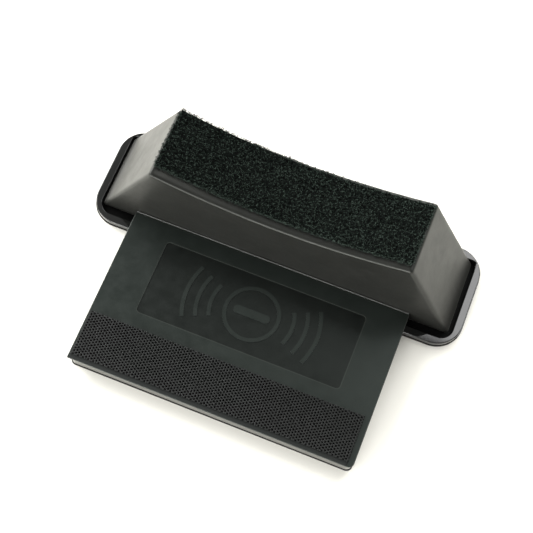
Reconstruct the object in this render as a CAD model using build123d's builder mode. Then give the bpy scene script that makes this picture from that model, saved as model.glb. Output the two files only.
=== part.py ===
"""Free-standing drum damper pad: a moulded foam block on a rimmed tray, with a hinged fastening flap.

Millimetres. +X runs along the block, +Y to the back, +Z up. The origin lies on the tray's flat
underside, below the middle of the block's top; the underside of the flap is on z = 0 as well.
"""
import os

from build123d import *

os.makedirs("parts", exist_ok=True)

# ---------------------------------------------------------------- tray
TRAY_LENGTH = 300.0
TRAY_FRONT = -42.6
TRAY_BACK = 41.0
TRAY_CORNER = 21.5
LIP_WIDTH = 0.5                 # trimmed edge of the sheet, outside the bead
LIP_THICKNESS = 0.9
BEAD_HEIGHT = 6.0
BEAD_OUTER_ROUND = 0.8
BEAD_INNER_ROUND = 0.5
TRAY_WALL = 1.2
TRAY_FLOOR = 1.5
POCKET_LENGTH = 287.0
POCKET_FRONT = -36.1
POCKET_BACK = 33.6
POCKET_CORNERS = (10.0, 3.0)      # front, back

# ---------------------------------------------------------------- foam block
ADHESIVE = 0.3                  # double-sided sheet under the block
BLOCK_BOTTOM = TRAY_FLOOR + ADHESIVE
BLOCK_LENGTH = 283.6            # at the base
BLOCK_SHIFT = -1.2              # the base lies a little to the left, the right end leans more
BLOCK_TOP_LENGTH = 199.2        # across the two high points of the top
BLOCK_WIDTH = 58.2              # across the top
BLOCK_BACK_LEAN = 4.0           # how much further back the base reaches than the top
BLOCK_TOP = 85.5                # height of the two ends of the top
TOP_SAG = 13.4                  # how far the middle of the top lies below its ends
BLOCK_EDGE = 2.4                # round on the four sloping corner edges
BLOCK_TOP_EDGE = 2.2            # round along the rim of the top

# ---------------------------------------------------------------- loop-pile patch
PATCH_LENGTH = 197.0
PATCH_WIDTH = 51.5
PATCH_OFFSET = (-0.2, 1.4)      # hand-laid, a little off centre
PATCH_TURN = -0.9               # and a little askew, degrees
PATCH_FILM = 0.2
PATCH_PILE = 2.0

# ---------------------------------------------------------------- hinge
HINGE_Y = -29.65                # fold line, just in front of the block
HINGE_Z = 14.0
HINGE_ROLL = 0.5                # radius of the moulded fold
HINGE_LENGTH = 220.6
WEB_THICKNESS = 0.6
WEB_FOOT = 4.0                  # how far the foot of the web runs forward on the tray floor
LEAF_THICKNESS = 0.4
LEAF_DEPTH = 15.0

# ---------------------------------------------------------------- flap
FLAP_X = -2.0                   # the flap sits a little to the left of the block's centre
FLAP_LENGTH = 222.0
FLAP_BACK = -30.3
FLAP_FRONT = -156.2
FLAP_TOP = 14.4
PANEL_THICKNESS = 1.5
PANEL_CORNER = 4.5              # front right corner, the others are nearly square
PANEL_SQUARE = 0.8
CORE_INSET = 1.1
CORE_CORNER = 4.5
CORE_BACK = -30.9
REBATE_FRONT = -44.0            # the core is cut away behind this line to clear the tray's rim
REBATE_TOP = 6.9
BASE_SHEET = 0.6
BASE_INSET = 0.5

# ---------------------------------------------------------------- recess in the panel
RECESS_LENGTH = 161.0
RECESS_WIDTH = 60.8
RECESS_CENTRE = (-0.5, -74.4)
RECESS_CORNER = 3.0
RECESS_DEPTH = 0.5
MARK_RISE = 0.3                 # height of the plain drum symbol inside the recess
MARK_RING = 22.0
MARK_LINE = 3.0
WAVE_RADII = (32.0, 42.0, 52.0)
WAVE_HALF_ANGLE = 24.0

# ---------------------------------------------------------------- hook strip
STRIP_LENGTH = 216.0
STRIP_WIDTH = 39.2
STRIP_CENTRE = (-3.6, -136.2)    # reaches almost to the front edge
STRIP_FILM = 0.15
STRIP_THICKNESS = 1.5           # backing and moulded hooks together


def save(builder, label):
    """Label a finished piece and write it out."""
    builder.part.label = label
    export_step(builder.part, f"parts/{label}.step")


def band_outline(length, front, back, front_corner, back_corner):
    """A rectangle between two Y positions with its own corner radius at the front and at the back."""
    with BuildSketch(mode=Mode.PRIVATE) as outline:
        with Locations((0, (front + back) / 2)):
            Rectangle(length, back - front)
        corners = outline.vertices().group_by(Axis.Y)
        fillet(corners[0], radius=front_corner)
        fillet(outline.vertices().sort_by(Axis.Y)[-2:], radius=back_corner)
    return outline.sketch


# ================================================================ tray
with BuildPart() as tray:
    with BuildSketch(Plane.XY):
        add(band_outline(TRAY_LENGTH, TRAY_FRONT, TRAY_BACK, TRAY_CORNER, TRAY_CORNER))
    extrude(amount=LIP_THICKNESS)
    with BuildSketch(Plane.XY):
        add(band_outline(
            TRAY_LENGTH - 2 * LIP_WIDTH, TRAY_FRONT + LIP_WIDTH, TRAY_BACK - LIP_WIDTH,
            TRAY_CORNER - LIP_WIDTH, TRAY_CORNER - LIP_WIDTH,
        ))
    extrude(amount=BEAD_HEIGHT)
    fillet(tray.edges().group_by(Axis.Z)[-1], radius=BEAD_OUTER_ROUND)
    with BuildSketch(Plane.XY.offset(TRAY_FLOOR)):
        add(band_outline(POCKET_LENGTH, POCKET_FRONT, POCKET_BACK, *POCKET_CORNERS))
    extrude(amount=BEAD_HEIGHT, mode=Mode.SUBTRACT)
    top_inner = tray.faces().filter_by(Plane.XY).sort_by(Axis.Z)[-1].inner_wires()[0].edges()
    fillet(top_inner, radius=BEAD_INNER_ROUND)
    # the bead is hollow from below, as pressed sheet is
    with BuildSketch(Plane.XY):
        groove_out = LIP_WIDTH + TRAY_WALL
        add(band_outline(
            TRAY_LENGTH - 2 * groove_out, TRAY_FRONT + groove_out, TRAY_BACK - groove_out,
            TRAY_CORNER - groove_out, TRAY_CORNER - groove_out,
        ))
        add(band_outline(
            POCKET_LENGTH + 2 * TRAY_WALL, POCKET_FRONT - TRAY_WALL, POCKET_BACK + TRAY_WALL,
            POCKET_CORNERS[0] + TRAY_WALL, POCKET_CORNERS[1] + TRAY_WALL,
        ), mode=Mode.SUBTRACT)
    extrude(amount=BEAD_HEIGHT - 2.4, mode=Mode.SUBTRACT)
save(tray, "tray")

# ================================================================ sheet that bonds the block to the tray
with BuildPart() as block_adhesive:
    with BuildSketch(Plane.XY.offset(TRAY_FLOOR)):
        with Locations((BLOCK_SHIFT, 0)):
            RectangleRounded(BLOCK_LENGTH - 8.0, BLOCK_WIDTH - 8.0, 4.0)
    extrude(amount=ADHESIVE)
save(block_adhesive, "block_adhesive")

# ================================================================ foam block
half_base = BLOCK_LENGTH / 2
half_top = BLOCK_TOP_LENGTH / 2
with BuildPart() as foam_block:
    with BuildSketch(Plane.XZ):
        with BuildLine():
            Polyline(
                (-half_top, BLOCK_TOP),
                (BLOCK_SHIFT - half_base, BLOCK_BOTTOM),
                (BLOCK_SHIFT + half_base, BLOCK_BOTTOM),
                (half_top, BLOCK_TOP),
            )
            ThreePointArc((half_top, BLOCK_TOP), (0, BLOCK_TOP - TOP_SAG), (-half_top, BLOCK_TOP))
        make_face()
    extrude(amount=BLOCK_WIDTH, both=True)
    front = -BLOCK_WIDTH / 2
    back_top = BLOCK_WIDTH / 2
    back_base = back_top + BLOCK_BACK_LEAN
    with BuildSketch(Plane.YZ):
        with BuildLine():
            Polyline(
                (front, BLOCK_BOTTOM),
                (back_base, BLOCK_BOTTOM),
                (back_top, BLOCK_TOP),
                (front, BLOCK_TOP),
                close=True,
            )
        make_face()
    extrude(amount=BLOCK_LENGTH, both=True, mode=Mode.INTERSECT)
    sloping = [
        e for e in foam_block.edges().filter_by(GeomType.LINE)
        if abs(e.tangent_at(0).Y) < 0.1 and abs(e.tangent_at(0).Z) > 0.5
    ]
    fillet(sloping, radius=BLOCK_EDGE)
    top_face = foam_block.faces().filter_by(GeomType.CYLINDER).sort_by(SortBy.AREA)[-1]
    fillet(top_face.edges(), radius=BLOCK_TOP_EDGE)
save(foam_block, "foam_block")


def top_band(lower, upper, length, width):
    """A band that follows the hollow top of the block, cut to the patch's turned outline."""
    with BuildPart() as band:
        with BuildSketch(Plane.XZ):
            with BuildLine():
                low = ThreePointArc(
                    (-half_top, BLOCK_TOP + lower),
                    (0, BLOCK_TOP - TOP_SAG + lower),
                    (half_top, BLOCK_TOP + lower),
                )
                high = ThreePointArc(
                    (half_top, BLOCK_TOP + upper),
                    (0, BLOCK_TOP - TOP_SAG + upper),
                    (-half_top, BLOCK_TOP + upper),
                )
                Line(low @ 1, high @ 0)
                Line(high @ 1, low @ 0)
            make_face()
        extrude(amount=BLOCK_WIDTH, both=True)
        with BuildSketch(Plane.XY.offset(BLOCK_TOP / 2)):
            with Locations(Location((*PATCH_OFFSET, 0), (0, 0, PATCH_TURN))):
                RectangleRounded(length, width, 1.5)
        extrude(amount=BLOCK_TOP, mode=Mode.INTERSECT)
    return band


# ================================================================ loop-pile patch and its adhesive
patch_adhesive = top_band(0.0, PATCH_FILM, PATCH_LENGTH - 4.0, PATCH_WIDTH - 4.0)
save(patch_adhesive, "patch_adhesive")
loop_patch = top_band(PATCH_FILM, PATCH_FILM + PATCH_PILE, PATCH_LENGTH, PATCH_WIDTH)
save(loop_patch, "loop_patch")

# ================================================================ hinge web, fixed to the tray floor
with BuildPart() as hinge_web:
    with BuildSketch(Plane.YZ):
        with Locations((HINGE_Y, (TRAY_FLOOR + HINGE_Z) / 2)):
            Rectangle(WEB_THICKNESS, HINGE_Z - TRAY_FLOOR)
        with Locations((HINGE_Y - WEB_FOOT / 2 + WEB_THICKNESS / 2, TRAY_FLOOR + WEB_THICKNESS / 2)):
            Rectangle(WEB_FOOT, WEB_THICKNESS)
        with Locations((HINGE_Y, HINGE_Z)):
            Circle(HINGE_ROLL)
    extrude(amount=HINGE_LENGTH / 2, both=True)
hinge_web.part = hinge_web.part.moved(Location((FLAP_X, 0, 0)))
save(hinge_web, "hinge_web")

# ================================================================ hinge leaf, under the flap's panel
panel_bottom = FLAP_TOP - PANEL_THICKNESS
with BuildPart() as hinge_leaf:
    with BuildSketch(Plane.XY.offset(panel_bottom - LEAF_THICKNESS)):
        with Locations((FLAP_X, FLAP_BACK - LEAF_DEPTH / 2)):
            Rectangle(HINGE_LENGTH, LEAF_DEPTH)
    extrude(amount=LEAF_THICKNESS)
save(hinge_leaf, "hinge_leaf")

# ================================================================ flap panel with its recess
flap_centre_y = (FLAP_BACK + FLAP_FRONT) / 2
flap_depth = FLAP_BACK - FLAP_FRONT
with BuildPart() as flap_panel:
    with BuildSketch(Plane.XY.offset(panel_bottom)):
        with Locations((FLAP_X, flap_centre_y)):
            Rectangle(FLAP_LENGTH, flap_depth)
    extrude(amount=PANEL_THICKNESS)
    uprights = flap_panel.edges().filter_by(Axis.Z)
    front_right = uprights.sort_by(Axis.X)[-2:].sort_by(Axis.Y)[0]
    fillet(front_right, radius=PANEL_CORNER)
    others = [
        e for e in flap_panel.edges().filter_by(Axis.Z)
        if e.center().X < 0 or e.center().Y > flap_centre_y
    ]
    fillet(others, radius=PANEL_SQUARE)
    fillet(flap_panel.faces().sort_by(Axis.Z)[-1].edges(), radius=0.4)
    with BuildSketch(Plane.XY.offset(FLAP_TOP - RECESS_DEPTH)):
        with Locations(RECESS_CENTRE):
            RectangleRounded(RECESS_LENGTH, RECESS_WIDTH, RECESS_CORNER)
    extrude(amount=RECESS_DEPTH + 1.0, mode=Mode.SUBTRACT)
    # a plain symbol of a drum with sound waves dying away on both sides
    with BuildSketch(Plane.XY.offset(FLAP_TOP - RECESS_DEPTH)):
        with Locations(RECESS_CENTRE):
            Circle(MARK_RING)
            Circle(MARK_RING - MARK_LINE, mode=Mode.SUBTRACT)
            RectangleRounded(2.2 * MARK_LINE + MARK_RING, 2.2 * MARK_LINE, MARK_LINE)
        for side in (0, 180):
            for radius in WAVE_RADII:
                with BuildSketch(mode=Mode.PRIVATE) as wave:
                    with Locations(RECESS_CENTRE):
                        Circle(radius + MARK_LINE / 2)
                        Circle(radius - MARK_LINE / 2, mode=Mode.SUBTRACT)
                    with Locations(Location((*RECESS_CENTRE, 0), (0, 0, side))):
                        with BuildLine():
                            reach = 2 * radius
                            spread = WAVE_HALF_ANGLE
                            tips = [
                                Vector(reach, 0, 0).rotate(Axis.Z, angle + side)
                                for angle in (-spread, spread)
                            ]
                            centre = Vector(*RECESS_CENTRE, 0)
                            Polyline(centre, centre + tips[0], centre + tips[1], close=True)
                        make_face(mode=Mode.INTERSECT)
                add(wave.sketch)
    extrude(amount=MARK_RISE)
save(flap_panel, "flap_panel")

# ================================================================ flap core
with BuildPart() as flap_core:
    with BuildSketch(Plane.XY.offset(BASE_SHEET)):
        with Locations((FLAP_X, (CORE_BACK + FLAP_FRONT + CORE_INSET) / 2)):
            Rectangle(FLAP_LENGTH - 2 * CORE_INSET, CORE_BACK - FLAP_FRONT - CORE_INSET)
    extrude(amount=panel_bottom - BASE_SHEET)
    front_uprights = flap_core.edges().filter_by(Axis.Z).sort_by(Axis.Y)[:2]
    fillet(front_uprights, radius=CORE_CORNER)
    with BuildSketch(Plane.XY.offset(BASE_SHEET)):
        with Locations((FLAP_X, (CORE_BACK + REBATE_FRONT) / 2 + 1.0)):
            Rectangle(FLAP_LENGTH, CORE_BACK - REBATE_FRONT + 2.0)
    extrude(amount=REBATE_TOP - BASE_SHEET, mode=Mode.SUBTRACT)
    with BuildSketch(Plane.XY.offset(panel_bottom - LEAF_THICKNESS)):
        with Locations((FLAP_X, FLAP_BACK - LEAF_DEPTH / 2)):
            Rectangle(HINGE_LENGTH, LEAF_DEPTH)
    extrude(amount=LEAF_THICKNESS, mode=Mode.SUBTRACT)
save(flap_core, "flap_core")

# ================================================================ flap base sheet
with BuildPart() as flap_base:
    base_back = REBATE_FRONT - 0.4
    base_front = FLAP_FRONT + BASE_INSET
    with BuildSketch(Plane.XY):
        with Locations((FLAP_X, (base_back + base_front) / 2)):
            RectangleRounded(FLAP_LENGTH - 2 * BASE_INSET, base_back - base_front, CORE_CORNER)
    extrude(amount=BASE_SHEET)
save(flap_base, "flap_base")

# ================================================================ hook strip and its adhesive
with BuildPart() as hook_adhesive:
    with BuildSketch(Plane.XY.offset(FLAP_TOP)):
        with Locations(STRIP_CENTRE):
            Rectangle(STRIP_LENGTH - 1.0, STRIP_WIDTH - 1.0)
    extrude(amount=STRIP_FILM)
save(hook_adhesive, "hook_adhesive")

with BuildPart() as hook_strip:
    with BuildSketch(Plane.XY.offset(FLAP_TOP + STRIP_FILM)):
        with Locations(STRIP_CENTRE):
            Rectangle(STRIP_LENGTH, STRIP_WIDTH)
    extrude(amount=STRIP_THICKNESS)
save(hook_strip, "hook_strip")
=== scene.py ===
"""Drum damper pad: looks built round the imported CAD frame. Metres, +Z up, origin on the tray's flat underside."""
import math

import bpy
import numpy as np
from mathutils import Matrix, Vector, noise


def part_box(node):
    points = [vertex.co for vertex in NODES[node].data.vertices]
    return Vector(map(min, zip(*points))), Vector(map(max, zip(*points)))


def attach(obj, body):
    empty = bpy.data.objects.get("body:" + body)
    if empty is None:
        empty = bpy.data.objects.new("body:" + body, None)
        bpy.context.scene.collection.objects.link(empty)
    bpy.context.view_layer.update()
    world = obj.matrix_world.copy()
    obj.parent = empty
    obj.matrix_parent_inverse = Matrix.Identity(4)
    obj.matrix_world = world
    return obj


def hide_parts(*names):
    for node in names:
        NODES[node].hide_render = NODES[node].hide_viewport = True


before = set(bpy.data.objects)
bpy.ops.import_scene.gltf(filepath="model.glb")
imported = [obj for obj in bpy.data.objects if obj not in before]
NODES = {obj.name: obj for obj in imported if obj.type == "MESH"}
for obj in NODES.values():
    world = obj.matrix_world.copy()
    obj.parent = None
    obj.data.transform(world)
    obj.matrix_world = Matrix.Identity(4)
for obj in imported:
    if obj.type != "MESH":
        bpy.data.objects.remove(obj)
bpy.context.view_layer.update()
MM = 0.001

# the photograph's viewpoint, from a perspective fit of the tray, block and flap outlines
CAMERA_PLACE = Vector((95.4, -378.1, 878.7)) * MM
CAMERA_AIM = Vector((-3.5, -36.9, 20.0)) * MM
CAMERA_ROLL = math.radians(5.67)
CAMERA_LENS = 83.7              # mm, on a 36 mm sensor

# name, place, aim, size (metres) and radiance, which is how bright the light's face looks
LIGHTS = (
    ("front", (-0.3, -1.0, 1.15), (0.0, -0.1, 0.0), (1.0, 0.6), 1.6),
    ("front_low", (-0.3, -1.7, 0.3), (0.0, -0.05, 0.05), (0.9, 0.5), 21.0),
    ("front_left", (-1.15, -1.2, 0.3), (0.0, -0.05, 0.05), (0.9, 0.5), 11.0),
    ("top_back", (0.42, 0.66, 1.2), (0.42, 0.66, 0.0), (0.56, 0.46), 5.8),
    ("back", (0.0, 2.0, 1.1), (0.0, 0.0, 0.1), (2.6, 1.0), 8.5),
    ("left", (-1.3, 0.45, 0.7), (0.0, 0.0, 0.0), (1.0, 0.7), 16.5),
    ("right", (1.5, 0.3, 0.7), (0.0, 0.0, 0.0), (0.8, 0.6), 1.4),
)
WORLD_STRENGTH = 0.5
FLOOR_REACH = 6.0
FLOOR_DROP = 0.0001             # the floor lies just under the tray, so that the two never coincide

# shapes that part.py gives and the node boxes do not
TOP_HALF = 99.6 * MM            # half length, end height and sag of the block's hollow top
TOP_END = 85.5 * MM
TOP_SAG = 13.4 * MM
TOP_RADIUS = (TOP_HALF ** 2 + TOP_SAG ** 2) / (2 * TOP_SAG)
PATCH_TURN = math.radians(-0.9)
FILM = 0.2 * MM                 # adhesive under the patch
RECESS_CENTRE = (-0.5 * MM, -74.4 * MM)
RECESS_HALF = (80.5 * MM, 30.4 * MM)
RECESS_CORNER = 3.0 * MM
RECESS_FLOOR = 0.35 * MM        # lower than this under the panel's top is recess floor, not symbol
POCKET_INSET = 5.5 * MM         # from the tray's outline to its pocket
POCKET_TOP = 3.2 * MM

FRONT_TRIM = 2.3 * MM           # how far the pile thins out along the patch's front edge
FOAM_VOXEL = 0.9 * MM
CRISP_BASE = 5 * MM             # the block's foot keeps its crisp edges up to here
CRISP_SHARE = 0.12              # how much of the easing reaches a crisp edge
SEED = 27


def link_object(name, data):
    obj = bpy.data.objects.new(name, data)
    bpy.context.scene.collection.objects.link(obj)
    return obj


def plan(node):
    """Middle and half size of a node's box seen from above."""
    low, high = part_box(node)
    middle = ((low.x + high.x) / 2, (low.y + high.y) / 2)
    return middle, ((high.x - low.x) / 2, (high.y - low.y) / 2)


PATCH_X, PATCH_Y = plan("loop_patch")[0]


# ---------------------------------------------------------------- camera
def make_camera():
    cam = link_object("camera", bpy.data.cameras.new("camera"))
    forward = (CAMERA_AIM - CAMERA_PLACE).normalized()
    level = forward.to_track_quat("-Z", "Y").to_matrix()
    roll = Matrix.Rotation(CAMERA_ROLL, 3, "Z")
    cam.matrix_world = Matrix.Translation(CAMERA_PLACE) @ (level @ roll).to_4x4()
    cam.data.sensor_width = 36.0
    cam.data.lens = CAMERA_LENS
    cam.data.clip_start = 0.01
    cam.data.clip_end = 50.0
    bpy.context.scene.camera = cam


# ---------------------------------------------------------------- light and floor
def area_light(name, place, aim, size, radiance):
    data = bpy.data.lights.new(name, "AREA")
    data.shape = "RECTANGLE"
    data.size, data.size_y = size
    data.energy = radiance * math.pi * size[0] * size[1]
    light = link_object(name, data)
    light.location = place
    light.visible_camera = False
    light.rotation_euler = (Vector(aim) - Vector(place)).to_track_quat("-Z", "Y").to_euler()


def make_studio():
    world = bpy.data.worlds.new("studio")
    bpy.context.scene.world = world
    world.use_nodes = True
    back = world.node_tree.nodes["Background"]
    back.inputs["Color"].default_value = (1.0, 0.995, 0.985, 1)
    back.inputs["Strength"].default_value = WORLD_STRENGTH
    for light in LIGHTS:
        area_light(*light)
    view = bpy.context.scene.view_settings
    view.view_transform = "Standard"
    view.look = "None"

    mesh = bpy.data.meshes.new("floor")
    corners = [(x * FLOOR_REACH, y * FLOOR_REACH, 0) for x, y in ((-1, -1), (1, -1), (1, 1), (-1, 1))]
    mesh.from_pydata(corners, [], [(0, 1, 2, 3)])
    floor = link_object("floor", mesh)
    floor.location.z = -FLOOR_DROP
    mat = bpy.data.materials.new("floor_white")
    mat.use_nodes = True
    shader = mat.node_tree.nodes["Principled BSDF"]
    shader.inputs["Base Color"].default_value = (0.93, 0.915, 0.845, 1)
    shader.inputs["Roughness"].default_value = 0.9
    shader.inputs["Specular IOR Level"].default_value = 0.1
    mesh.materials.append(mat)


# ---------------------------------------------------------------- materials
class Surface:
    """A Principled material with helpers for procedural detail in the row frame, in metres."""

    def __init__(self, name, **values):
        self.mat = bpy.data.materials.new(name)
        self.mat.use_nodes = True
        self.tree = self.mat.node_tree
        self.shader = self.tree.nodes["Principled BSDF"]
        for key, value in values.items():
            self.shader.inputs[key.replace("_", " ")].default_value = value
        self.coords = self.tree.nodes.new("ShaderNodeTexCoord").outputs["Object"]
        self.normal = None

    def link(self, a, b):
        self.tree.links.new(a, b)

    def noise(self, size_mm, detail=3.0, rough=0.55, stretch=None):
        """Noise with grains of about size_mm; stretch scales the coordinates per axis."""
        node = self.tree.nodes.new("ShaderNodeTexNoise")
        node.inputs["Scale"].default_value = 1.0 / (size_mm * MM)
        node.inputs["Detail"].default_value = detail
        node.inputs["Roughness"].default_value = rough
        source = self.coords
        if stretch:
            mapping = self.tree.nodes.new("ShaderNodeMapping")
            mapping.inputs["Scale"].default_value = stretch
            self.link(source, mapping.inputs["Vector"])
            source = mapping.outputs["Vector"]
        self.link(source, node.inputs["Vector"])
        return node.outputs["Fac"]

    def ramp(self, fac, stops):
        """A colour ramp: stops are (position, colour or grey)."""
        node = self.tree.nodes.new("ShaderNodeValToRGB")
        ends = node.color_ramp.elements
        while len(ends) < len(stops):
            ends.new(0.5)
        for end, (position, value) in zip(ends, stops):
            end.position = position
            end.color = (*value, 1) if isinstance(value, tuple) else (value, value, value, 1)
        self.link(fac, node.inputs["Fac"])
        return node.outputs["Color"]

    def range(self, fac, low, high):
        """Spreads a noise's usual spread, 0.3 to 0.7, over low to high."""
        node = self.tree.nodes.new("ShaderNodeMapRange")
        node.inputs["From Min"].default_value = 0.3
        node.inputs["From Max"].default_value = 0.7
        node.inputs["To Min"].default_value = low
        node.inputs["To Max"].default_value = high
        self.link(fac, node.inputs["Value"])
        return node.outputs["Result"]

    def mix(self, fac, a, b):
        node = self.tree.nodes.new("ShaderNodeMix")
        node.data_type = "RGBA"
        self.link(fac, node.inputs["Factor"])
        for value, socket in ((a, node.inputs[6]), (b, node.inputs[7])):
            if isinstance(value, tuple):
                socket.default_value = (*value, 1)
            else:
                self.link(value, socket)
        return node.outputs[2]

    def axis(self, name):
        """One coordinate of the surface point, metres."""
        node = self.tree.nodes.new("ShaderNodeSeparateXYZ")
        self.link(self.coords, node.inputs["Vector"])
        return node.outputs[name]

    def math(self, operation, a, b=0.0):
        """A Math node; a and b are numbers or sockets."""
        node = self.tree.nodes.new("ShaderNodeMath")
        node.operation = operation
        for value, socket in ((a, node.inputs[0]), (b, node.inputs[1])):
            if isinstance(value, (int, float)):
                socket.default_value = value
            else:
                self.link(value, socket)
        return node.outputs[0]

    def box_distance(self, centre, half, corner=0.0):
        """Millimetres from the outline of a round-cornered rectangle seen from above, negative inside."""
        sides = [
            self.math("SUBTRACT", self.math("ABSOLUTE", self.math("SUBTRACT", self.axis(name), c)), h - corner)
            for name, c, h in zip("XY", centre, half)
        ]
        within = self.math("MINIMUM", self.math("MAXIMUM", *sides), 0.0)
        squares = [self.math("POWER", self.math("MAXIMUM", side, 0.0), 2.0) for side in sides]
        beyond = self.math("SQRT", self.math("ADD", *squares))
        return self.math("MULTIPLY", self.math("SUBTRACT", self.math("ADD", within, beyond), corner), 1 / MM)

    def band(self, value, low, high, soft=0.15):
        """1 between low and high, 0 outside, with soft ends."""
        up = self.math("DIVIDE", self.math("SUBTRACT", value, low - soft), 2 * soft)
        down = self.math("DIVIDE", self.math("SUBTRACT", high + soft, value), 2 * soft)
        node = self.tree.nodes.new("ShaderNodeClamp")
        self.link(self.math("MINIMUM", up, down), node.inputs["Value"])
        return node.outputs["Result"]

    def colour(self, value):
        self.link(value, self.shader.inputs["Base Color"])

    def roughness(self, value):
        self.link(value, self.shader.inputs["Roughness"])

    def bump(self, height, depth_mm):
        """Adds a layer of bump on top of the ones before it."""
        node = self.tree.nodes.new("ShaderNodeBump")
        node.inputs["Distance"].default_value = depth_mm * MM
        node.inputs["Strength"].default_value = 1.0
        self.link(height, node.inputs["Height"])
        if self.normal:
            self.link(self.normal, node.inputs["Normal"])
        self.normal = node.outputs["Normal"]
        self.link(self.normal, self.shader.inputs["Normal"])

    def edge_wear(self, base, worn):
        """Lightens the colour a little on convex edges."""
        geo = self.tree.nodes.new("ShaderNodeNewGeometry")
        mask = self.ramp(geo.outputs["Pointiness"], [(0.53, 0.0), (0.6, 1.0)])
        return self.mix(mask, base, worn)


def tray_material():
    """Gloss-black sheet with a few scuffs, and painted shade in its dull pocket."""
    s = Surface("tray_gloss_sheet", IOR=1.5, Coat_Roughness=0.06, Specular_IOR_Level=0.1)
    gloss = s.ramp(s.noise(35, 2), [(0.35, (0.003, 0.0034, 0.003)), (0.65, (0.006, 0.0066, 0.006))])
    scuff = s.ramp(s.noise(1.6, 3, stretch=(1.0, 0.15, 1.0)), [(0.68, 0.0), (0.78, 0.4)])
    gloss = s.mix(scuff, gloss, (0.018, 0.019, 0.018))
    # the pocket inside the rim is dull, and its colour is darkened as painted shade for the narrow gap beside the
    # block; the rim itself is polished
    middle, half = plan("tray")
    inside = s.box_distance(middle, [side - POCKET_INSET for side in half])
    deep = s.band(s.axis("Z"), -1.0, POCKET_TOP, 0.3 * MM)
    pocket_dull_and_shade = s.math("MULTIPLY", s.band(inside, -400.0, 0.0, 0.2), deep)
    # the pocket's darker colour is painted shade
    s.colour(s.mix(pocket_dull_and_shade, gloss, (0.0022, 0.0024, 0.0022)))
    shine = s.range(s.noise(6, 4), 0.08, 0.16)
    s.roughness(s.math("ADD", shine, s.math("MULTIPLY", pocket_dull_and_shade, 0.7)))
    s.link(s.math("SUBTRACT", 1.0, pocket_dull_and_shade), s.shader.inputs["Coat Weight"])
    s.bump(s.noise(9, 2), 0.02)
    return s.mat


def foam_material(name, sheen):
    """Smooth satin skin of moulded foam."""
    s = Surface(name, IOR=1.5, Specular_IOR_Level=0.34, Sheen_Weight=sheen, Sheen_Roughness=0.4)
    s.shader.inputs["Sheen Tint"].default_value = (1.0, 0.99, 0.9, 1)
    s.shader.inputs["Specular Tint"].default_value = (0.97, 1.0, 0.92, 1)
    speck = s.noise(1.1, 2)
    base = s.ramp(s.noise(28, 4, 0.6), [(0.3, (0.004, 0.0043, 0.0038)), (0.7, (0.007, 0.0073, 0.0065))])
    base = s.mix(s.ramp(speck, [(0.62, 0.0), (0.74, 0.6)]), base, (0.011, 0.0115, 0.010))
    s.colour(s.edge_wear(base, (0.011, 0.0115, 0.010)))
    s.roughness(s.range(s.noise(12, 5, 0.6), 0.34, 0.44))
    s.bump(s.noise(14, 3), 0.10)
    s.bump(s.noise(0.7, 2), 0.012)
    return s.mat


def panel_material():
    """Satin sheet: faint streaks, a darker recess floor, and painted highlight lines along the recess outline and
    the outer edge.
    """
    s = Surface("flap_satin_sheet", IOR=1.5, Specular_IOR_Level=0.37)
    s.shader.inputs["Specular Tint"].default_value = (0.9, 1.0, 0.94, 1)
    cloud = s.noise(30, 4, 0.6)
    outside = s.ramp(cloud, [(0.3, (0.008, 0.0105, 0.009)), (0.7, (0.0115, 0.0145, 0.0125))])
    streak = s.ramp(s.noise(2.2, 3, stretch=(0.06, 1.0, 1.0)), [(0.6, 0.0), (0.75, 0.35)])
    outside = s.mix(streak, outside, (0.011, 0.0135, 0.012))
    cloud = s.noise(14, 4, 0.6)
    recess = s.ramp(cloud, [(0.3, (0.0006, 0.0010, 0.0007)), (0.7, (0.0022, 0.0030, 0.0023))])
    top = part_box("flap_panel")[1].z
    base = s.mix(s.band(s.axis("Z"), -1.0, top - RECESS_FLOOR, 0.02 * MM), outside, recess)
    # a lighter line round the recess outline: painted highlight on the recess edge
    recess_highlight_distance = s.box_distance(RECESS_CENTRE, RECESS_HALF, RECESS_CORNER)
    base = s.mix(s.band(recess_highlight_distance, -0.35, 0.45), base, (0.022, 0.025, 0.022))
    # a lighter band along the panel's outer edge: painted highlight on that edge
    edge = s.box_distance(*plan("flap_panel"))
    s.colour(s.mix(s.band(edge, -0.55, 1.0), base, (0.03, 0.032, 0.029)))
    s.roughness(s.range(s.noise(9, 5, 0.6), 0.3, 0.44))
    s.bump(s.noise(22, 2), 0.10)
    s.bump(s.noise(0.55, 2), 0.014)
    return s.mat


def hook_material():
    s = Surface("moulded_hooks", IOR=1.5, Specular_IOR_Level=0.3)
    cloud = s.noise(20, 4)
    fine = s.noise(0.9, 2)
    base = s.ramp(cloud, [(0.3, (0.0042, 0.0050, 0.0042)), (0.7, (0.0068, 0.0080, 0.0068))])
    s.colour(s.mix(s.ramp(fine, [(0.5, 0.0), (0.8, 0.5)]), base, (0.014, 0.0155, 0.014)))
    s.roughness(s.range(fine, 0.42, 0.56))
    s.bump(s.noise(0.25, 2), 0.01)
    return s.mat


def backing_material():
    s = Surface("hook_backing", IOR=1.5, Specular_IOR_Level=0.06)
    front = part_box("hook_strip")[0].y
    base = s.ramp(s.noise(5, 3), [(0.35, (0.0008, 0.001, 0.0009)), (0.65, (0.0014, 0.0017, 0.0015))])
    # plain border along the front edge of the strip
    border = s.band(s.axis("Y"), front - 1 * MM, front + 3.4 * MM, 0.3 * MM)
    edge = s.box_distance(*plan("hook_strip"))
    base = s.mix(s.band(edge, -0.7, 1.0), base, (0.010, 0.0115, 0.0105))
    s.colour(s.mix(border, base, (0.019, 0.0205, 0.0195)))
    s.roughness(s.range(s.noise(1.2, 2), 0.7, 0.85))
    s.bump(s.noise(0.5, 2), 0.03)
    return s.mat


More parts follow.
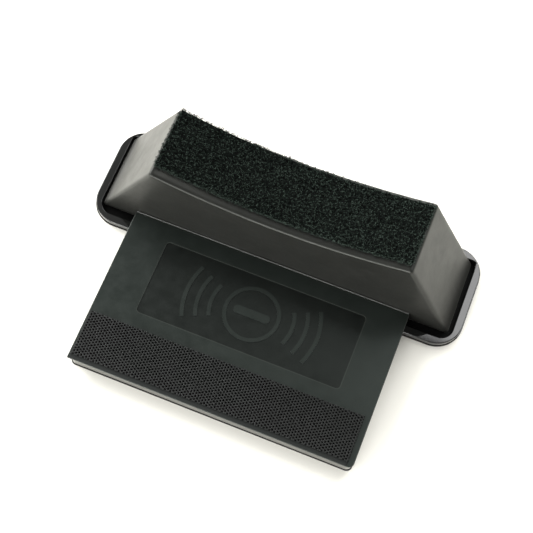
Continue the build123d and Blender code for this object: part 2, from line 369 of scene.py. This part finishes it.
def pile_material(name, dark, light, grain_mm=1.5):
    s = Surface(name, Roughness=0.95, IOR=1.45, Specular_IOR_Level=0.06)
    tuft = s.noise(grain_mm, 3, 0.65)
    patch = s.noise(9, 3)
    base = s.ramp(tuft, [(0.42, dark), (0.60, light)])
    s.colour(s.mix(s.ramp(patch, [(0.35, 0.0), (0.7, 0.2)]), base, light))
    s.bump(s.noise(0.4, 2), 0.08)
    return s.mat


def plain_material(name, low, high, rough, grain_mm, bump_mm):
    """Uneven colour between low and high, and roughness between the two values of rough."""
    s = Surface(name, IOR=1.5)
    s.colour(s.ramp(s.noise(grain_mm * 6, 4), [(0.35, low), (0.65, high)]))
    s.roughness(s.range(s.noise(grain_mm * 2, 3), rough[0], rough[1]))
    s.bump(s.noise(grain_mm, 2), bump_mm)
    return s.mat


# ---------------------------------------------------------------- mesh helpers
def new_object(name, verts, faces, material):
    mesh = bpy.data.meshes.new(name)
    mesh.from_pydata(verts, [], faces)
    mesh.materials.append(material)
    mesh.update()
    mesh.shade_smooth()
    return link_object(name, mesh)


def bulk_object(name, verts, faces, material):
    """A large mesh from numpy arrays; all faces have the same number of corners."""
    mesh = bpy.data.meshes.new(name)
    corners = faces.shape[1]
    mesh.vertices.add(len(verts))
    mesh.vertices.foreach_set("co", verts.astype(np.float32).ravel())
    mesh.loops.add(faces.size)
    mesh.loops.foreach_set("vertex_index", faces.astype(np.int32).ravel())
    mesh.polygons.add(len(faces))
    mesh.polygons.foreach_set("loop_start", np.arange(0, faces.size, corners, dtype=np.int32))
    mesh.update(calc_edges=True)
    mesh.validate()
    mesh.materials.append(material)
    mesh.shade_smooth()
    return link_object(name, mesh)


def baked(obj):
    """The object's mesh with its modifiers applied; the modifiers are removed."""
    bpy.context.view_layer.update()
    mesh = bpy.data.meshes.new_from_object(obj.evaluated_get(bpy.context.evaluated_depsgraph_get()))
    obj.modifiers.clear()
    obj.data = mesh
    return mesh


def foam_piece(node, name, body, rounds, dent_mm, material, crisp_below=0.0):
    """The foam that stands for a CAD solid: remeshed evenly, edges eased, faces very slightly uneven."""
    obj = link_object(name, NODES[node].data.copy())
    remesh = obj.modifiers.new("even", "REMESH")
    remesh.mode = "VOXEL"
    remesh.voxel_size = FOAM_VOXEL
    mesh = baked(obj)
    ease = obj.modifiers.new("ease", "SMOOTH")
    ease.factor = 0.5
    ease.iterations = rounds
    upper = obj.vertex_groups.new(name="upper")
    upper.add([v.index for v in mesh.vertices if v.co.z >= crisp_below], 1.0, "REPLACE")
    upper.add([v.index for v in mesh.vertices if v.co.z < crisp_below], CRISP_SHARE, "REPLACE")
    ease.vertex_group = upper.name
    done = baked(obj)
    obj.vertex_groups.clear()
    done.materials.clear()
    done.materials.append(material)
    count = len(done.vertices)
    place = np.empty(3 * count, np.float32)
    out = np.empty(3 * count, np.float32)
    done.vertices.foreach_get("co", place)
    done.vertex_normals.foreach_get("vector", out)
    place, out = place.reshape(-1, 3), out.reshape(-1, 3)
    shift = np.array([noise.noise(Vector(p) * 22.0) + 0.35 * noise.noise(Vector(p) * 60.0) for p in place])
    place += out * ((shift - 0.5) * dent_mm * MM)[:, None]
    done.vertices.foreach_set("co", place.ravel())
    done.shade_smooth()
    done.update()
    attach(obj, body)
    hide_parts(node)


# ---------------------------------------------------------------- the hollow top
def top_height(x):
    """Height of the block's hollow top at x."""
    x = np.clip(x, -1.08 * TOP_HALF, 1.08 * TOP_HALF)
    return TOP_END - TOP_SAG + TOP_RADIUS - np.sqrt(TOP_RADIUS ** 2 - np.square(x))


def top_slope(x):
    return x / np.sqrt(TOP_RADIUS ** 2 - np.square(x))


def patch_point(u, v):
    """Plan position of a point of the patch, u along and v across, both in metres from its centre."""
    c, s = math.cos(PATCH_TURN), math.sin(PATCH_TURN)
    return PATCH_X + u * c - v * s, PATCH_Y + FRONT_TRIM / 2 + u * s + v * c


def slab_mesh(u_count, v_count, point):
    """A closed sheet: point(along, across, side), each -1 to 1 and side 0 or 1, gives a lower or upper corner."""
    verts = [
        point(2 * i / u_count - 1, 2 * j / v_count - 1, side)
        for side in (0, 1) for j in range(v_count + 1) for i in range(u_count + 1)
    ]
    row = u_count + 1
    layer = row * (v_count + 1)
    faces = []
    for j in range(v_count):
        for i in range(u_count):
            a = j * row + i
            faces.append((a, a + row, a + row + 1, a + 1))
            b = a + layer
            faces.append((b, b + 1, b + row + 1, b + row))
    for i in range(u_count):
        faces.append((i, i + 1, i + 1 + layer, i + layer))
        a = v_count * row + i
        faces.append((a + 1, a, a + layer, a + 1 + layer))
    for j in range(v_count):
        a = j * row
        faces.append((a + row, a, a + layer, a + row + layer))
        b = a + u_count
        faces.append((b, b + row, b + row + layer, b + layer))
    return verts, faces


def loop_tubes(centre, side, thread, sides):
    """Tubes of `sides` faces round many lines: centre is (loop, step, xyz), side a level unit vector per loop."""
    count, steps = centre.shape[:2]
    tangent = np.gradient(centre, axis=1)
    tangent /= np.linalg.norm(tangent, axis=2, keepdims=True)
    side = side[:, None, :] + 0 * tangent
    other = np.cross(tangent, side)
    other /= np.maximum(np.linalg.norm(other, axis=2, keepdims=True), 1e-9)
    rings = []
    for k in range(sides):
        a = 2 * math.pi * k / sides
        rings.append(centre + thread[:, None, None] * (math.cos(a) * side + math.sin(a) * other))
    verts = np.stack(rings, 2).reshape(-1, 3)
    base = np.arange(count)[:, None, None] * steps * sides
    ring = np.arange(steps - 1)[None, :, None] * sides
    k = np.arange(sides)[None, None, :]
    a, b = base + ring + k, base + ring + (k + 1) % sides
    return verts, np.stack([a, b, b + sides, a + sides], -1).reshape(-1, 4)


def pile_loops(rng, half_u, half_v):
    """Separate thread loops: most stand anywhere on the patch, the last ones hang over its edges."""
    inner, along_edge = 5200, 900
    count = inner + along_edge
    u = rng.uniform(-half_u, half_u, count)
    v = rng.uniform(-half_v, half_v, count)
    long_side = rng.uniform(0, 1, along_edge) < half_u / (half_u + half_v)
    sign = np.where(rng.uniform(0, 1, along_edge) < 0.5, -1.0, 1.0)
    outside = rng.uniform(0.0, 0.7, along_edge) * MM
    u[inner:] = np.where(long_side, u[inner:], sign * (half_u + outside))
    v[inner:] = np.where(long_side, sign * (half_v + outside), v[inner:])
    x, y = patch_point(u, v)
    z = top_height(x) + FILM + 0.9 * MM
    heading = rng.uniform(0, 2 * math.pi, count)
    span = rng.uniform(0.5, 1.25, count) * MM
    height = rng.uniform(0.4, 1.45, count) * MM
    lean = rng.normal(0, 0.5, (count, 2))
    thread = rng.uniform(0.12, 0.23, count) * MM

    steps, sides = 6, 3
    along = np.linspace(0, math.pi, steps)
    across = -np.cos(along)[None, :] * span[:, None]
    up = np.sin(along)[None, :] * height[:, None]
    centre = np.empty((count, steps, 3))
    centre[:, :, 0] = x[:, None] + across * np.cos(heading)[:, None] + up * lean[:, :1]
    centre[:, :, 1] = y[:, None] + across * np.sin(heading)[:, None] + up * lean[:, 1:]
    centre[:, :, 2] = z[:, None] + up + across * (np.cos(heading) * top_slope(x))[:, None]
    side = np.stack([-np.sin(heading), np.cos(heading), np.zeros(count)], 1)
    material = pile_material("pile_loops", (0.0006, 0.0012, 0.0009), (0.044, 0.060, 0.049), 1.3)
    return bulk_object("patch_pile_loops", *loop_tubes(centre, side, thread, sides), material)


def make_patch(rng):
    """Backing sheet, matted pile and standing loops of the patch on the hollow top."""
    half_u, half_v = 98.2 * MM, 25.6 * MM - FRONT_TRIM / 2
    sheet, mat_foot, mat_top = 0.5 * MM, 0.45 * MM, 0.5 * MM

    def backing_point(along, across, side):
        x, y = patch_point(along * half_u, across * half_v)
        return x, y, top_height(x) + FILM + side * sheet

    def mat_point(along, across, side):
        u, v = along * half_u, across * half_v
        x, y = patch_point(u, v)
        if side == 0:
            return x, y, top_height(x) + FILM + mat_foot
        spot = Vector((x, y, 0.0))
        lumps = noise.noise(spot * 520.0) + 0.5 * noise.noise(spot * 1100.0 + Vector((7, 3, 1)))
        edge = min(half_u - abs(u), half_v - abs(v)) / MM
        rise = (0.85 + 1.1 * lumps) * min(1.0, 0.3 + 0.4 * edge)    # mm, lower towards the edges
        return x, y, top_height(x) + FILM + mat_top + min(1.5, max(0.05, rise)) * MM

    backing = new_object(
        "patch_backing", *slab_mesh(120, 32, backing_point),
        pile_material("pile_backing", (0.006, 0.008, 0.007), (0.012, 0.016, 0.014)))
    mat_grid = ((420, 112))
    # the matted pile is coloured far darker than the same fibres in the loops, as painted shade in the gaps between
    # them
    mat = new_object(
        "patch_pile_mat", *slab_mesh(*mat_grid, mat_point),
        pile_material("pile_mat", (0.0002, 0.0004, 0.0003), (0.0045, 0.0068, 0.0052)))
    loops = pile_loops(rng, half_u, half_v)
    for piece in (backing, mat, loops):
        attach(piece, "pad")
    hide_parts("loop_patch")


# ---------------------------------------------------------------- the hook strip
HOOK_GAP = 2.33 * MM            # from one open gap to the next
HOOK_MARGIN = 0.75 * MM
HOOK_BORDER = 3.6 * MM          # plain border along the strip's front edge
# radius and height of a knob's rings, mm, from its foot to the edge of its flat top
HOOK_PROFILE = ((0.36, -0.1), (0.34, 0.30), (0.66, 0.42), (0.735, 0.60), (0.66, 0.74), (0.42, 0.83))
HOOK_SIDES = 8
# four-cornered faces that close a knob's eight-sided top
HOOK_TOP = ((0, 1, 2, 3), (0, 3, 4, 7), (4, 5, 6, 7))


def hook_centres(low, high):
    """Knobs in rings of six round open gaps, the gaps staggered from column to column."""
    column = HOOK_GAP * math.sqrt(3) / 2
    end = 0.6 * HOOK_MARGIN
    centres = []
    index = 0
    x = low.x + HOOK_MARGIN
    while x < high.x - HOOK_MARGIN:
        for half_step, offset in ((index % 2, 0.0), (1 - index % 2, column / 3)):
            y = low.y + HOOK_BORDER + 0.5 * half_step * HOOK_GAP
            while y < high.y - end and x + offset < high.x - end:
                centres.append((x + offset, y))
                y += HOOK_GAP
        x += column
        index += 1
    return np.array(centres)


def unit_hook():
    """One knob, slightly longer than wide: its points in metres and its faces."""
    ring = []
    for radius, height in HOOK_PROFILE:
        for k in range(HOOK_SIDES):
            a = 2 * math.pi * (k + 0.5) / HOOK_SIDES
            ring.append((radius * math.cos(a) * 1.04, radius * math.sin(a) * 0.92, height))
    faces = []
    for r in range(len(HOOK_PROFILE) - 1):
        for k in range(HOOK_SIDES):
            a, b = r * HOOK_SIDES + k, r * HOOK_SIDES + (k + 1) % HOOK_SIDES
            faces.append((a, b, b + HOOK_SIDES, a + HOOK_SIDES))
    top = (len(HOOK_PROFILE) - 1) * HOOK_SIDES
    faces += [tuple(top + corner for corner in face) for face in HOOK_TOP]
    return np.array(ring) * MM, np.array(faces)


def make_hooks(rng):
    """Backing and moulded knobs of the hook strip on the flap."""
    low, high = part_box("hook_strip")
    base_top = low.z + 0.45 * MM

    def backing_point(along, across, side):
        x = low.x + (high.x - low.x) * (along + 1) / 2
        y = low.y + (high.y - low.y) * (across + 1) / 2
        if side == 0:
            return x, y, low.z
        return x, y, base_top - 0.08 * MM + 0.05 * MM * noise.noise(Vector((x, y, 0)) * 400.0)

    backing = new_object("hook_backing", *slab_mesh(216, 36, backing_point), backing_material())

    centres = hook_centres(low, high)
    count = len(centres)
    centres += rng.normal(0, 0.035 * MM, centres.shape)
    size = rng.normal(1.0, 0.05, count)
    rise = rng.normal(1.0, 0.04, count)
    tilt = rng.normal(0, 0.05, (count, 2))
    unit, unit_faces = unit_hook()
    verts = unit[None] * np.stack([size, size, rise], 1)[:, None, :]
    for axis in (0, 1):
        verts[:, :, axis] += verts[:, :, 2] * tilt[:, axis:axis + 1]
        verts[:, :, axis] += centres[:, axis:axis + 1]
    verts[:, :, 2] += base_top
    faces = (unit_faces[None] + (np.arange(count) * len(unit))[:, None, None]).reshape(-1, 4)
    hooks = bulk_object("hook_heads", verts.reshape(-1, 3), faces, hook_material())
    for piece in (backing, hooks):
        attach(piece, "flap")
    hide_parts("hook_strip")


def dress(node, material):
    """Gives a CAD node that stays visible its material."""
    obj = NODES[node]
    obj.data.materials.clear()
    obj.data.materials.append(material)


def main():
    rng = np.random.default_rng(SEED)
    make_camera()
    make_studio()

    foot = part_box("foam_block")[0].z + CRISP_BASE
    foam_piece("foam_block", "block_foam", "pad", 12, 0.22, foam_material("foam_satin_skin", 0.11), foot)
    foam_piece("flap_core", "flap_foam", "flap", 1, 0.12, foam_material("foam_flap_edge", 0.8))
    make_patch(rng)
    make_hooks(rng)

    # the hinge film's light grey colour is painted highlight for the bright line along the flap's fold
    hinge = plain_material("hinge_film_painted_highlight", (0.07, 0.073, 0.068), (0.1, 0.103, 0.097), (0.3, 0.42), 1.2, 0.02)
    film = plain_material("adhesive_film", (0.42, 0.40, 0.34), (0.52, 0.5, 0.44), (0.3, 0.5), 0.8, 0.02)
    clear = plain_material(
        "adhesive_clear_film", (0.004, 0.0044, 0.0042), (0.007, 0.0075, 0.0072), (0.4, 0.55), 0.8, 0.02)
    base = plain_material("base_sheet", (0.012, 0.012, 0.011), (0.022, 0.022, 0.02), (0.5, 0.7), 1.0, 0.03)
    dress("tray", tray_material())
    dress("flap_panel", panel_material())
    dress("flap_base", base)
    dress("hinge_web", hinge)
    dress("hinge_leaf", hinge)
    dress("block_adhesive", film)
    dress("hook_adhesive", film)
    dress("patch_adhesive", clear)


main()
